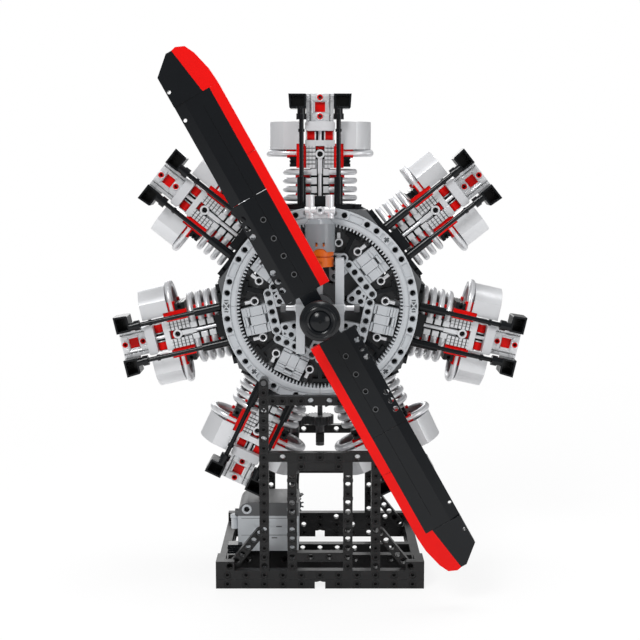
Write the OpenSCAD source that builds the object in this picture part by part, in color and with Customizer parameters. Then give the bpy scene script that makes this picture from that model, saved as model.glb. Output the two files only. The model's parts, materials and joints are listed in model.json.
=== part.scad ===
// Seven-cylinder radial engine display model on a beam-built stand.
// X is to the right, Y to the rear, Z up; the origin is the centre of the base, on the ground.

/* [Building grid] */
// Spacing of the beam holes
pitch = 8; // [8:0.1:8.1]
// Diameter of a beam hole
hole_d = 4.9; // [4.8:0.05:5]
// Diameter of an axle
axle_d = 4.8; // [4.4:0.1:4.8]
// Radial running clearance of an axle in its bearing
run_gap = 0.08; // [0.05:0.01:0.1]
// Clearance left at the open crankpin and between meshing parts
open_gap = 0.3; // [0.2:0.05:0.5]

/* [Base and stand] */
// Width of the base
base_w = 180; // [176:1:190]
// Depth of the base
base_d = 160; // [160:1:166]
// Height of the front base beam
base_front_h = 16; // [16:1:18]
// Height of the rear base beam
base_rear_h = 24; // [22:1:26]
// Half spacing of the main uprights
upright_x = 48; // [48:0.1:48.1]
// Height of the engine shaft above the ground
shaft_z = 244; // [244:0.1:244.1]

/* [Ring gear] */
// Outer radius of the ring gear
ring_r = 84; // [84:0.05:84.2]
// Radius of the circle of pin holes
pin_circle_r = 80; // [79.9:0.05:80.1]
// Number of teeth on the inner rim
ring_teeth = 140; // [120:4:160]
// Radius at the tooth tips
tooth_tip_r = 68.6; // [68.4:0.1:69]
// Depth of the ring gear from front to back
ring_depth = 16; // [15:1:16]

/* [Crankcase] */
// Distance of the cylinder feet's seats from the shaft
seat_r = 81.5; // [79:0.5:83]
// Distance of the cylinders' middle behind the ring gear's front
cyl_back = 59; // [57:0.5:61]

/* [Cylinders] */
// Number of cylinders
cylinders = 7; // [7:1:7]
// Cooling fins on each cylinder
fins = 4; // [3:1:4]
// Diameter of a fin hose
fin_d = 5.3; // [4.8:0.1:5.3]
// Reach of a fin to the side of the cylinder axis
fin_reach = 33; // [31:0.5:34]
// Diameter of the head loop hose
loop_d = 6.3; // [5.5:0.1:6.3]
// Reach of the head loop to the side of the cylinder axis
loop_reach = 47.5; // [46:0.5:49]
// Reach of a head cup to the side of the cylinder axis
cup_reach = 45; // [43:0.5:46]
// Wall of a head cup
cup_wall = 1.8; // [1.4:0.1:2.4]
// Height of a column block
column_h = 24; // [22:0.5:25]
// Height of a rocker head
head_h = 24; // [23:0.5:26]
// Side distance of the pushrod tubes from the cylinder axis
tube_x = 16; // [15.9:0.1:16.1]

/* [Crank and piston] */
// Throw of the crankpin
crank_throw = 8; // [6:0.5:8]
// Length of the connecting rod between its pins
rod_length = 47; // [47:0.1:47.2]
// Diameter of the piston
piston_d = 23; // [22:0.1:23]
// Bore of the clear sleeve
sleeve_bore = 23.4; // [23.3:0.1:23.6]
// Diameter of the clear sleeve
sleeve_d = 25.4; // [25:0.1:26]

/* [Propeller] */
// Radius of the propeller at the blade tips
blade_tip_r = 239; // [220:1:245]
// Distance of a blade root from the shaft
blade_root_r = 20.6; // [18:0.2:22]
// Width of the black panel of a blade
panel_w = 32; // [28:1:34]
// Width of the red strip of a blade
strip_w = 8; // [6:0.5:9]
// Lean of the blades from the vertical
blade_lean = 29.15; // [0:0.05:90]
// Diameter of the spinner tyre
spinner_d = 32; // [28:1:34]

/* [Motor] */
// Width of the motor housing
motor_w = 54; // [50:1:54]
// Height of the motor housing
motor_h = 44; // [40:1:46]
// Depth of the motor housing
motor_d = 48; // [40:1:48]
// Teeth of each bevel gear
bevel_teeth = 12; // [10:1:14]
// Teeth of each spur gear
spur_teeth = 24; // [24:1:24]

/* [Hidden] */
$fn = 48;

// Colours
stand_c = "#2b2b2b";
grey_c = "#b9bcc0";
dark_c = "#55585c";
silver_c = "#d5d7da";
white_c = "#e4e5e7";
red_c = "#e0140f";
black_c = "#15171a";
orange_c = "#d9661a";
clear_c = "#8f9396";

// Planes from front to back
front_y = -base_d / 2;
rear_y = base_d / 2;
beam_t = 8;
front_mid_y = front_y + beam_t / 2;
rear_mid_y = rear_y - beam_t / 2;
hole_r = hole_d / 2;
axle_r = axle_d / 2;
bearing_r = axle_r + run_gap;
ring_front_y = front_y + 17;
ring_back_y = ring_front_y + ring_depth;
plate_t = 6;
rear_plate_y = ring_front_y + 81;
foot_front_y = ring_front_y + 27;
foot_back_y = rear_plate_y + plate_t;
crank_y = ring_front_y - 13;
blade_y = crank_y - 48;
spinner_y = blade_y - 38;
drive_y = ring_front_y + 101;
cyl_y = ring_front_y + cyl_back;

// Crankcase
station = 360 / cylinders;
tooth_root_r = tooth_tip_r + 2.6;
foot_r = seat_r;
foot_t = 4.5;
foot_half_w = 36;
barrel_r = foot_r + foot_t;
beam_r = 41;

// Cylinder levels, measured from the shaft
core_half_d = 18;
fin_first_r = barrel_r + fin_d / 2 + 1.9;
fin_step = 7.65;
column_r0 = fin_first_r + 3 * fin_step + 3.5;
column_r1 = column_r0 + column_h;
barrel_h = 8;
bar_h = 8;
bar_half_d = 28;
bar_r0 = column_r1 + barrel_h;
head_r0 = bar_r0 + bar_h;
head_r1 = head_r0 + head_h;
box_r0 = head_r1 - 13;
box_r1 = head_r1 - 0.5;
head_half_d = 18;
head_front_y = cyl_y - head_half_d;
column_x0 = 4;
column_x1 = 12;
collar_x1 = 20.5;
collar_step_r = column_r0 + 19;
collar_top = collar_step_r + 2;
block_half_d = 24;
cup_r0 = head_r0 - 24;
cup_half_d = 23;
loop_r = cup_r0 - loop_d / 2;
tube_y = cyl_y - 31;

// Piston mechanism, at the bottom of the stroke
wrist_r = rod_length - crank_throw;
rod_t = 3;
web_t = 4;
web_r = 12;
crankpin_r = 3;
wrist_pin_r = 1.5;

// Gears
gear_module = 1;
spur_r = spur_teeth * gear_module / 2;
lay_x = -2 * spur_r;
bevel_r = 8;
motor_z = 44;
motor_x0 = -73;
motor_z0 = 22;
motor_y0 = front_y + 37;
spur_z = 121;
spur_t = 8;

// ---------- helpers ----------

// A round bar along X, Y or Z between two coordinates
module rod_x(r, x0, x1) { translate([x0, 0, 0]) rotate([0, 90, 0]) cylinder(r = r, h = x1 - x0); }
module rod_y(r, y0, y1) { translate([0, y0, 0]) rotate([-90, 0, 0]) cylinder(r = r, h = y1 - y0); }
module rod_z(r, z0, z1) { translate([0, 0, z0]) cylinder(r = r, h = z1 - z0); }

// A box between two corners
module box(a, b) { translate(a) cube([b[0] - a[0], b[1] - a[1], b[2] - a[2]]); }

// Both the shape and its mirror image about X = 0
module both() { children(); mirror([1, 0, 0]) children(); }

// The frame of one cylinder: Z runs outward along the cylinder, X to its side
module at_station(i) { translate([0, 0, shaft_z]) rotate([0, i * station, 0]) children(); }
module each_station() { for (i = [0:cylinders - 1]) at_station(i) children(); }

// A drawing in X and Z, extruded from the plane y_back towards the front
module facing_front(y_back, depth) {
    translate([0, y_back, 0]) rotate([90, 0, 0]) linear_extrude(height = depth) children();
}

// A pin hole with its shallow wider mouths, along Y through a beam whose middle is at y = 0
module pin_hole(t = beam_t, r = hole_r) {
    rod_y(r, -t / 2 - 1, t / 2 + 1);
    rod_y(r + 0.65, -t / 2 - 1, -t / 2 + 0.8);
    rod_y(r + 0.65, t / 2 - 0.8, t / 2 + 1);
}

// A round-ended beam of n holes along X, its middle at the origin, holes along Y
module beam_x(n, h = pitch, t = beam_t) {
    half = (n - 1) * pitch / 2;
    difference() {
        union() {
            box([-half, -t / 2, -h / 2], [half, t / 2, h / 2]);
            for (s = [-1, 1]) translate([s * half, 0, 0]) rod_y(h / 2, -t / 2, t / 2);
        }
        for (k = [0:n - 1]) translate([k * pitch - half, 0, 0]) pin_hole(t);
    }
}

// An upright of n holes standing on a square foot at z = 0, with a round top
module upright(n) {
    difference() {
        union() {
            box([-pitch / 2, -beam_t / 2, 0], [pitch / 2, beam_t / 2, (n - 0.5) * pitch]);
            translate([0, 0, (n - 0.5) * pitch]) rod_y(pitch / 2, -beam_t / 2, beam_t / 2);
        }
        for (k = [0:n - 1]) translate([0, 0, (k + 0.5) * pitch]) pin_hole();
    }
}

// A square-ended brick along X, with rows of holes every second pitch
end_room = 8;
module brick_x(length, h, rows) {
    count = 2 * floor((length / 2 - end_room) / (2 * pitch)) + 1;
    difference() {
        box([-length / 2, -beam_t / 2, 0], [length / 2, beam_t / 2, h]);
        for (k = [0:count - 1], row = [0:rows - 1])
            translate([(k - (count - 1) / 2) * 2 * pitch, 0, pitch / 2 + row * pitch]) pin_hole();
    }
}

// A gear blank outline with straight-sided teeth
module gear_outline(teeth, r, tip = 0.9, root = 1.2, thick = 0.42) {
    step = 360 / teeth;
    union() {
        circle(r = r - root);
        for (k = [0:teeth - 1]) rotate(k * step)
            polygon([
                [r - root - 0.5, -thick * step * r / 57.3 * 0.65],
                [r + tip, -thick * step * r / 57.3 * 0.3],
                [r + tip, thick * step * r / 57.3 * 0.3],
                [r - root - 0.5, thick * step * r / 57.3 * 0.65]]);
    }
}

// A bevel gear about Z: its pitch cone has its tip at the origin and opens upward
module bevel_gear(turn = 0) {
    tip = 0.5;
    depth = 1.1;
    face = 2.6;
    far = bevel_r;
    near = far - face;
    difference() {
        union() {
            translate([0, 0, near]) cylinder(r1 = near + tip * sqrt(2), r2 = far + tip * sqrt(2), h = face);
            rod_z(5, far, far + 2);
        }
        for (k = [0:bevel_teeth - 1]) rotate(turn + k * 360 / bevel_teeth)
            rotate([0, 45, 0]) linear_extrude(height = 2.2 * far)
                polygon([[-depth, -0.95], [2.5, -2.3], [2.5, 2.3], [-depth, 0.95]]);
        rod_z(axle_r - 0.1, 0, far + 3);
    }
}

// ---------- stand ----------

module base_front_beam() {
    color(stand_c) translate([0, front_y + beam_t / 2, 0]) difference() {
        brick_x(base_w, base_front_h, 2);
        box([-4.5, -beam_t, -1], [4.5, beam_t, 6]);
    }
}

module base_rear_beam() {
    color(stand_c) translate([0, rear_y - beam_t / 2, 0]) difference() {
        brick_x(base_w, base_rear_h, 3);
        box([-4.5, -beam_t, -1], [4.5, beam_t, 6]);
    }
}

rail_len = base_d - 2 * beam_t;
module base_side_rails() {
    color(stand_c) both() translate([base_w / 2 - beam_t / 2, 0, 0]) rotate([0, 0, 90]) difference() {
        box([-rail_len / 2, -beam_t / 2, 0], [rail_len / 2, beam_t / 2, base_front_h]);
        for (k = [-8:8], row = [0, 1]) translate([k * pitch, 0, pitch / 2 + row * pitch]) pin_hole();
    }
}

module corner_blocks() {
    color(stand_c) both() difference() {
        union() {
            box([base_w / 2 - 2 * pitch, front_y, base_front_h],
                [base_w / 2, front_y + beam_t, base_front_h + pitch]);
            box([base_w / 2 - pitch, front_y + beam_t, base_front_h],
                [base_w / 2, front_y + 3 * pitch, base_front_h + pitch]);
        }
        translate([base_w / 2 - 3 * pitch / 2, front_y + beam_t / 2, base_front_h + pitch / 2]) pin_hole();
    }
}

upright_holes = 21;
module front_uprights() {
    color(stand_c) both() translate([upright_x, front_mid_y, base_front_h]) upright(upright_holes);
}

module rear_uprights() {
    color(stand_c) both() translate([upright_x, rear_mid_y, base_rear_h]) upright(upright_holes - 1);
}

// A square-ended cross beam between the uprights
module cross_beam(y, z, half_w, holes_at) {
    translate([0, y, z]) difference() {
        box([-half_w, -beam_t / 2, -pitch / 2], [half_w, beam_t / 2, pitch / 2]);
        for (x = holes_at) translate([x, 0, 0]) pin_hole();
    }
}

span = upright_x - pitch / 2;
post_holes = 11;
post_top = base_front_h + post_holes * pitch;
module cross_beams() {
    color(stand_c) {
        cross_beam(front_mid_y, base_front_h + 149, span, [for (k = [-5:5]) if (k != 0) k * pitch]);
        cross_beam(front_mid_y, post_top + 1.5 * pitch, span, [for (k = [-2:2]) k * 2 * pitch]);
        cross_beam(front_mid_y, post_top + 0.5 * pitch, 3.5 * pitch, [-16, 16]);
        for (z = [68, 108, 164]) cross_beam(rear_mid_y, z, span, [for (k = [-2:2]) k * 2 * pitch]);
        cross_beam(front_mid_y, base_front_h + 1.5 * pitch, 2.5 * pitch, [-pitch, pitch]);
    }
}

module inner_posts() {
    color(stand_c) both() translate([3 * pitch, front_mid_y, base_front_h]) {
        upright(post_holes);
        box([-pitch / 2, -beam_t / 2, (post_holes - 0.5) * pitch],
            [pitch / 2, beam_t / 2, post_holes * pitch]);
    }
}

// Sloping braces from the corner blocks up to the uprights
brace_rise = 31;
brace_run = 25;
module corner_braces() {
    color(stand_c) for (y = [front_mid_y + beam_t, rear_mid_y - beam_t]) both()
        translate([base_w / 2 - brace_run, y, brace_rise])
            rotate([0, atan2(brace_rise, brace_run), 0]) beam_x(6);
}

rear_beam_y0 = foot_back_y;
rear_beam_y1 = rear_y - beam_t;
module rear_depth_beams() {
    color(stand_c) both() translate([upright_x, 0, shaft_z - 64]) rotate([0, 0, 90]) difference() {
        box([rear_beam_y0, -pitch / 2, -pitch / 2], [rear_beam_y1, pitch / 2, pitch / 2]);
        for (k = [1:floor((rear_beam_y1 - rear_beam_y0) / pitch) - 1])
            translate([rear_beam_y0 + k * pitch, 0, 0]) pin_hole();
    }
}

// A beam along Y that carries an upright shaft at drive_y
module bearing_beam(x, z, y1) {
    difference() {
        box([x - pitch / 2, drive_y - pitch / 2 - 2, z - pitch / 2], [x + pitch / 2, y1, z + pitch / 2]);
        translate([x, drive_y, 0]) rod_z(bearing_r, z - pitch, z + pitch);
        for (k = [1:floor((y1 - drive_y) / pitch) - 1])
            translate([x, drive_y + k * pitch, z]) rotate([0, 0, 90]) pin_hole();
    }
}

top_bearing_z = shaft_z - 30;
module bearing_beams() {
    color(stand_c) {
        bearing_beam(lay_x, 68, rear_beam_y1);
        bearing_beam(lay_x, 108, rear_beam_y1);
        bearing_beam(0, 108, rear_beam_y1);
        difference() {
            box([-pitch / 2, foot_back_y, top_bearing_z - pitch / 2],
                [pitch / 2, drive_y + pitch / 2 + 2, top_bearing_z + pitch / 2]);
            translate([0, drive_y, 0]) rod_z(bearing_r, top_bearing_z - pitch, top_bearing_z + pitch);
            translate([0, foot_back_y + pitch / 2, top_bearing_z]) rotate([0, 0, 90]) pin_hole();
        }
    }
}

module motor_cradle() {
    inner_w = base_w / 2 - beam_t;
    color(stand_c) for (y = [-4 * pitch, 0]) difference() {
        union() {
            box([-inner_w, y - beam_t / 2, 0], [inner_w, y + beam_t / 2, 2 * pitch]);
            box([motor_x0 + 3, y - beam_t / 2, 2 * pitch], [motor_x1 - 3, y + beam_t / 2, motor_z0]);
        }
        for (k = [-4:4]) translate([k * 2 * pitch, y, 1.5 * pitch]) pin_hole();
    }
}

// ---------- motor and drive ----------

motor_x1 = motor_x0 + motor_w;
motor_z1 = motor_z0 + motor_h;
motor_y1 = motor_y0 + motor_d;
band_h = 12;
module motor_outline(z0, z1) {
    difference() {
        intersection() {
            box([motor_x0, motor_y0, z0], [motor_x1, motor_y1, z1]);
            union() {
                box([motor_x0 + 10, motor_y0, motor_z0], [motor_x1, motor_y1, motor_z1]);
                for (z = [motor_z0 + 10, motor_z1 - 10]) translate([motor_x0 + 10, 0, z])
                    rod_y(10, motor_y0, motor_y1);
                box([motor_x0, motor_y0, motor_z0 + 10], [motor_x0 + 12, motor_y1, motor_z1 - 10]);
            }
        }
        for (x = [motor_x0 + 8, motor_x1 - 6], z = [motor_z0 + 6, motor_z1 - 6])
            translate([x, motor_y0, z]) rod_y(hole_r, -1, 6);
    }
}

module motor_housing() {
    color(grey_c) difference() {
        motor_outline(motor_z0, motor_z1 - band_h);
        translate([lay_x, 0, motor_z]) rod_y(bearing_r, motor_y1 - 20, motor_y1 + 1);
    }
}

module motor_band() {
    color(dark_c) motor_outline(motor_z1 - band_h, motor_z1);
    color(orange_c) translate([0, motor_y0 + 10, motor_z1 - band_h])
        rod_x(4, motor_x0 - 3, motor_x0);
}

module motor_shaft() {
    color(dark_c) translate([lay_x, 0, motor_z]) {
        rod_y(axle_r, motor_y1 - 19, drive_y - 4);
        rod_y(4, motor_y1 + open_gap, drive_y - bevel_r);
        translate([0, drive_y, 0]) rotate([90, 0, 0]) bevel_gear();
    }
}

bevel_phase = 180 / bevel_teeth;
lay_top = spur_z + spur_t + 2;
module lay_shaft() {
    color(dark_c) translate([lay_x, drive_y, 0]) {
        rod_z(axle_r, motor_z + 4, lay_top);
        translate([0, 0, motor_z]) bevel_gear(bevel_phase);
        rod_z(4, motor_z + bevel_r + 2, 64 - open_gap);
        for (z = [72, 112]) rod_z(4, z + open_gap, z + 4);
        rod_z(4, 116, spur_z);
        translate([0, 0, spur_z]) linear_extrude(height = spur_t) gear_outline(spur_teeth, spur_r);
    }
}

centre_top = shaft_z - 4;
module centre_shaft() {
    color(dark_c) translate([0, drive_y, 0]) {
        rod_z(axle_r, 100, centre_top);
        rod_z(4, 100, 104 - open_gap);
        rod_z(4, 112 + open_gap, spur_z);
        translate([0, 0, spur_z]) linear_extrude(height = spur_t) rotate(180 / spur_teeth)
            gear_outline(spur_teeth, spur_r);
        rod_z(4, top_bearing_z + pitch / 2 + open_gap, shaft_z - bevel_r - 2);
        rod_z(4, top_bearing_z - pitch, top_bearing_z - pitch / 2 - open_gap);
        translate([0, 0, shaft_z]) mirror([0, 0, 1]) bevel_gear(bevel_phase);
    }
}

// ---------- crankcase ----------

module ring_pins() {
    color(dark_c) both() translate([upright_x, 0, shaft_z - 64]) {
        rod_y(hole_r - 0.05, front_y + 1, ring_front_y + 8);
        rod_y(3.8, front_y + beam_t, ring_front_y);
    }
}

// Seven-sided outline whose flats are at distance a from the centre
module seven_sided(a) {
    rotate(90 - station / 2) circle(r = a / cos(station / 2), $fn = cylinders);
}

// A see-through slot on each side of the case, upright, between two corners
module case_slots(p0, p1) {
    for (s = [-1, 1]) translate([s * (p0[0] + p1[0]) / 2, (p0[1] + p1[1]) / 2])
        square(p1 - p0, center = true);
}

module case_plate(bore, hole_rows) {
    difference() {
        seven_sided(foot_r);
        circle(r = bore);
        for (i = [0:cylinders - 1], k = hole_rows) rotate((i + 0.5) * station)
            translate([0, 14 + k * pitch]) circle(r = hole_r);
    }
}

case_bore_r = 74;
module front_plate() {
    rim_back = foot_front_y + pitch;
    color(dark_c) translate([0, 0, shaft_z]) {
        facing_front(ring_back_y + plate_t, plate_t) difference() {
            case_plate(bearing_r, [1:3]);
            case_slots([55.5, 23.2], [58.7, 33]);
        }
        facing_front(rim_back, rim_back - ring_back_y - plate_t) difference() {
            seven_sided(foot_r);
            circle(r = case_bore_r);
        }
    }
}

module rear_plate() {
    color(stand_c) translate([0, 0, shaft_z]) facing_front(foot_back_y, plate_t) difference() {
        case_plate(bearing_r, [1:3]);
        case_slots([53, 12], [68, 32]);
    }
}

// Pin hole places on one ring segment, in degrees from its end
ring_holes = [8, 15, 30, 36.87, 53.13, 60, 75, 82];
sector_gap = 0.1;
teeth_per_quarter = ring_teeth / 4;
band_r = 75.8;
floor_r0 = 76.8;
floor_r1 = 82.8;
floor_sink = 1.1;
tooth_w = 8;

// The relief at a segment's end: half of a raised cross, and a notch beside it
module end_relief() {
    for (p = [[[77.4, -0.2], [77.4, 2.3], [79.7, -0.2]],
              [[82.6, -0.2], [82.6, 2.3], [80.3, -0.2]],
              [[77.9, 3.3], [82.1, 3.3], [80, 1.1]],
              [[78.2, 4.3], [81.8, 4.3], [81.8, 5.3], [78.2, 5.3]]])
        translate([0, 0, ring_depth - 3]) linear_extrude(height = 4) polygon(p);
}

module ring_quarter(q) {
    color(grey_c) translate([0, ring_back_y, shaft_z]) rotate([90, 0, 0]) rotate([0, 0, -90 * q])
    difference() {
        union() {
            rotate([0, 0, sector_gap]) rotate_extrude(angle = 90 - 2 * sector_gap) polygon([
                [tooth_root_r, 0],
                [ring_r, 0],
                [ring_r, ring_depth],
                [floor_r0, ring_depth],
                [floor_r0, ring_depth - 1],
                [band_r, ring_depth - 1],
                [band_r, ring_depth - 0.1],
                [tooth_root_r + 1.6, ring_depth],
                [tooth_root_r, ring_depth - 0.7]]);
            translate([0, 0, ring_depth - 1 - tooth_w]) linear_extrude(height = tooth_w)
                for (k = [0:teeth_per_quarter - 1]) rotate((k + 0.5) * 90 / teeth_per_quarter)
                    polygon([
                        [tooth_tip_r, -0.4],
                        [tooth_root_r + 0.5, -1.0],
                        [tooth_root_r + 0.5, 1.0],
                        [tooth_tip_r, 0.4]]);
        }
        for (a = ring_holes) rotate([0, 0, a]) translate([pin_circle_r, 0, 0]) {
            translate([0, 0, -1]) cylinder(r = hole_r, h = ring_depth + 2);
            translate([0, 0, ring_depth - 0.8]) cylinder(r = hole_r + 0.65, h = 2);
        }
        // sunk floors between the groups of holes
        for (a = [18, 63]) rotate([0, 0, a]) rotate_extrude(angle = 9)
            translate([floor_r0 + 0.6, ring_depth - floor_sink])
                square([floor_r1 - floor_r0 - 0.6, floor_sink + 1]);
        for (a = [40.4, 47.6]) rotate([0, 0, a]) rotate_extrude(angle = 2)
            translate([floor_r0 + 1, ring_depth - floor_sink])
                square([floor_r1 - floor_r0 - 1.6, floor_sink + 1]);
        end_relief();
        rotate([0, 0, 90]) mirror([0, 1, 0]) end_relief();
        rotate([0, 0, 45]) translate([pin_circle_r, 0, ring_depth - 5]) for (a = [0, 90])
            rotate([0, 0, a]) translate([-2.4, -0.95, 0]) cube([4.8, 1.9, 6]);
    }
}

block_r0 = beam_r + pitch / 2;
block_r1 = 67;
block_front_y = ring_front_y + 1;
block_w = 12;
strip_half = 3.85;
module valve_blocks() {
    base_y = block_front_y + 3;
    color(grey_c) each_station() difference() {
        union() {
            box([-block_w, base_y, block_r0], [block_w, ring_back_y, block_r1]);
            for (x = [-8, 8]) {
                block_step(x, 1.4, block_r0 + 0.8, 48);
                block_step(x, 3, 48.6, 57.4);
                block_step(x, 2.2, 57.4, 59.4);
                block_step(x, 1.4, 60, 62);
                block_step(x, 0.7, 62.6, 64.6);
            }
            block_step(0, 3.6, 47.8, 58);
            block_step(0, 2.8, 58, 60.6);
            block_step(0, 2.4, 63, 65);
            block_step(0, 1.2, 65.6, block_r1);
        }
        for (r = [[block_r0 + 0.6, 47.4], [61, 62.8]])
            box([-3.5, base_y - 1, r[0]], [3.5, base_y + 7, r[1]]);
    }
}

// A raised step on the front of a valve block, in the strip whose middle is at x
module block_step(x, proud, r0, r1) {
    box([x - strip_half, block_front_y + 3 - proud, r0], [x + strip_half, block_front_y + 3.5, r1]);
}

tappet_r = 54;
tappet_y0 = ring_front_y + 5;
module tappets() {
    color(silver_c) each_station() both() translate([tube_x, 0, 0]) difference() {
        union() {
            translate([0, 0, tappet_r]) rod_y(3.6, tappet_y0, ring_back_y);
            box([-1.4, tappet_y0 + 1.5, tappet_r + 3], [1.4, ring_back_y, 62.5]);
        }
        translate([0, 0, tappet_r]) rod_y(hole_r - 0.05, tappet_y0 - 1, ring_back_y + 1);
    }
}

beam_shift = pitch / 2;
module frame_beams() {
    color(grey_c) each_station() difference() {
        translate([beam_shift, block_front_y + beam_t / 2, beam_r]) beam_x(5);
        // room for the round end of the beam before it
        rotate([0, -station, 0]) translate([beam_shift + 2 * pitch, 0, beam_r])
            rod_y(pitch / 2 + 0.15, block_front_y - 1, block_front_y + beam_t + 1);
    }
}

module corner_plates() {
    color(grey_c) translate([0, 0, shaft_z]) facing_front(block_front_y + beam_t, beam_t)
        for (i = [0:cylinders - 1]) rotate((i + 0.5) * station) difference() {
            union() {
                polygon([[0, 40.9], [8.8, 36.6], [8.8, 35.4], [3.75, 26.1], [-3.75, 26.1], [-8.8, 35.4],
                    [-8.8, 36.6]]);
                translate([0, 27.8]) circle(r = 4.12);
            }
            for (p = [[-4, 34.7], [4, 34.7], [0, 27.8]]) translate(p) circle(r = hole_r - 0.1);
            polygon([[-1.5, 37.6], [1.5, 37.6], [0, 39.8]]);
        }
}

lever_y0 = ring_front_y + 7;
lever_r0 = 50;
lever_r1 = 64;
module levers() {
    color(black_c) for (i = [0:cylinders - 1]) translate([0, 0, shaft_z])
        rotate([0, (i + 0.5) * station, 0]) {
            box([-1.8, lever_y0, lever_r0], [1.8, ring_back_y, lever_r1]);
            box([-6.5, lever_y0, lever_r1], [6.5, ring_back_y, lever_r1 + 3]);
        }
}

arm_x0 = 12.8;
arm_x1 = 20.2;
module front_cage() {
    color(grey_c) translate([0, 0, shaft_z]) {
        both() difference() {
            union() {
                box([arm_x0, crank_y - 8, -38], [arm_x1, crank_y + 8, 41.8]);
                box([arm_x0, crank_y + 8, 33], [arm_x1, block_front_y, 41.8]);
                box([arm_x0, crank_y + 8, -38], [arm_x1, block_front_y, -30]);
            }
            for (k = [-4:4]) translate([0, crank_y, k * pitch]) rod_x(hole_r, arm_x0 - 1, arm_x1 + 1);
        }
        difference() {
            union() {
                box([-arm_x1, crank_y - 16, -pitch / 2], [arm_x1, crank_y - 8, pitch / 2]);
                rod_y(7, crank_y - 18, crank_y - 8);
            }
            rod_y(bearing_r, crank_y - 19, crank_y - 7);
        }
    }
}

sleeve_r0 = 48;
sleeve_r1 = 71.2;
neck_r1 = 75.5;
module clear_sleeve() {
    color(clear_c) translate([0, crank_y, shaft_z]) difference() {
        union() {
            rod_z(sleeve_d / 2, sleeve_r0, sleeve_r1);
            translate([0, 0, sleeve_r1]) cylinder(r1 = sleeve_d / 2, r2 = 9, h = neck_r1 - sleeve_r1);
        }
        rod_z(sleeve_bore / 2, sleeve_r0 - 1, sleeve_r1 - 0.5);
        translate([0, 0, sleeve_r0 - 4]) rod_y(7, -sleeve_d, sleeve_d);
        for (s = [-3, 3]) box([s - 0.9, -sleeve_d, 52.6], [s + 0.9, 0, 56]);
    }
}

// Silver fittings: the sleeve's two holders, and the rod and connector on each cylinder's front
connector_r0 = column_r0 - 5;
eye_r = column_r0 + 12;
eye_front_y = cyl_y - 25;
link_r0 = ring_r + 0.4;
module silver_fittings() {
    core_y = cyl_y - core_half_d;
    color(silver_c) {
        translate([0, 0, shaft_z]) both() translate([8.2, crank_y, 0]) {
            rod_z(3.6, neck_r1, 95);
            rod_z(4, 78, 83.5);
            box([-3, 0, link_r0], [3, foot_block_y - crank_y, link_r0 + 3.6]);
        }
        box([-6, crank_y - 2, shaft_z + neck_r1], [6, crank_y + 2, shaft_z + 81]);
        each_station() {
            translate([0, eye_front_y + 3.5, 0]) rod_z(1.6, barrel_r, connector_r0);
            difference() {
                union() {
                    box([-1.9, eye_front_y + 1, connector_r0], [1.9, core_y, eye_r - 3]);
                    translate([0, 0, eye_r]) rod_y(4, eye_front_y, core_y);
                }
                translate([0, 0, eye_r]) rod_y(hole_r, eye_front_y - 1, core_y + 1);
            }
            translate([0, eye_front_y + 4, 0]) rod_z(1.6, column_r1, bar_r0);
        }
    }
}

// ---------- crank, rod and piston ----------

module piston() {
    color(orange_c) translate([0, crank_y, shaft_z]) {
        difference() {
            union() {
                rod_z(piston_d / 2, 35.3, 43.2);
                rod_z(piston_d / 2 - 1.5, 43.2, 44.5);
                rod_z(piston_d / 2, 44.5, 52);
            }
            box([-7, -rod_t / 2 - 0.6, 30], [7, rod_t / 2 + 0.6, 43]);
            translate([0, 0, wrist_r]) rod_y(wrist_pin_r, -20, 20);
        }
        translate([0, 0, wrist_r]) rod_y(wrist_pin_r, -10.5, 10.5);
    }
}

module connecting_rod() {
    color(dark_c) translate([0, crank_y, shaft_z]) difference() {
        union() {
            translate([0, 0, wrist_r]) rod_y(3.2, -rod_t / 2, rod_t / 2);
            box([-2.4, -rod_t / 2, -crank_throw + 3], [2.4, rod_t / 2, wrist_r]);
            translate([0, 0, -crank_throw]) rod_y(5, -rod_t / 2, rod_t / 2);
        }
        translate([0, 0, wrist_r]) rod_y(wrist_pin_r + run_gap, -5, 5);
        translate([0, 0, -crank_throw]) rod_y(crankpin_r, -5, 5);
    }
}

module crankshaft() {
    pin_end = rod_t / 2 + open_gap;
    web_y = pin_end + 1.2;
    color(dark_c) translate([0, crank_y, shaft_z]) {
        rod_y(axle_r, spinner_y + 10 - crank_y, -web_y);
        rod_y(web_r, -web_y - web_t, -web_y);
        translate([0, 0, -crank_throw]) rod_y(crankpin_r, -web_y, -pin_end);
        translate([0, 0, -crank_throw]) rod_y(crankpin_r, pin_end, web_y);
        rod_y(web_r, web_y, web_y + web_t);
        rod_y(axle_r, web_y + web_t, drive_y - 4 - crank_y);
        rod_y(4, foot_back_y - crank_y + open_gap, drive_y - crank_y - bevel_r);
        translate([0, drive_y - crank_y, 0]) rotate([90, 0, 0]) bevel_gear();
    }
}

// ---------- propeller ----------

blade_half_t = 4;
seam_x = 1;
panel_x0 = strip_w - (panel_w + strip_w) / 2 - strip_w;
panel_x1 = panel_x0 + panel_w;
strip_x1 = panel_x1 + strip_w;
tip_start = 200;
panel_splits = [109, tip_start];
strip_split = 140;
seam_gap = 0.3;
pin_stations = [39, 56, 72, 89];

// The frame of one blade: Z outward along the blade, X across it to the leading edge
module each_blade() {
    for (s = [0, 180]) translate([0, blade_y, shaft_z]) rotate([0, s - blade_lean, 0]) children();
}

// Cross-section of the black panel, thick at the strip and thin at the trailing edge
module panel_section() {
    polygon([
        [panel_x0, -1.2],
        [panel_x0 + 9, -blade_half_t + 0.8],
        [panel_x1, -blade_half_t],
        [panel_x1, blade_half_t],
        [panel_x0 + 9, blade_half_t - 0.8],
        [panel_x0, 1.2]]);
}

module panel_piece(z0, z1) {
    translate([0, 0, z0]) linear_extrude(height = z1 - z0) panel_section();
}

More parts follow.
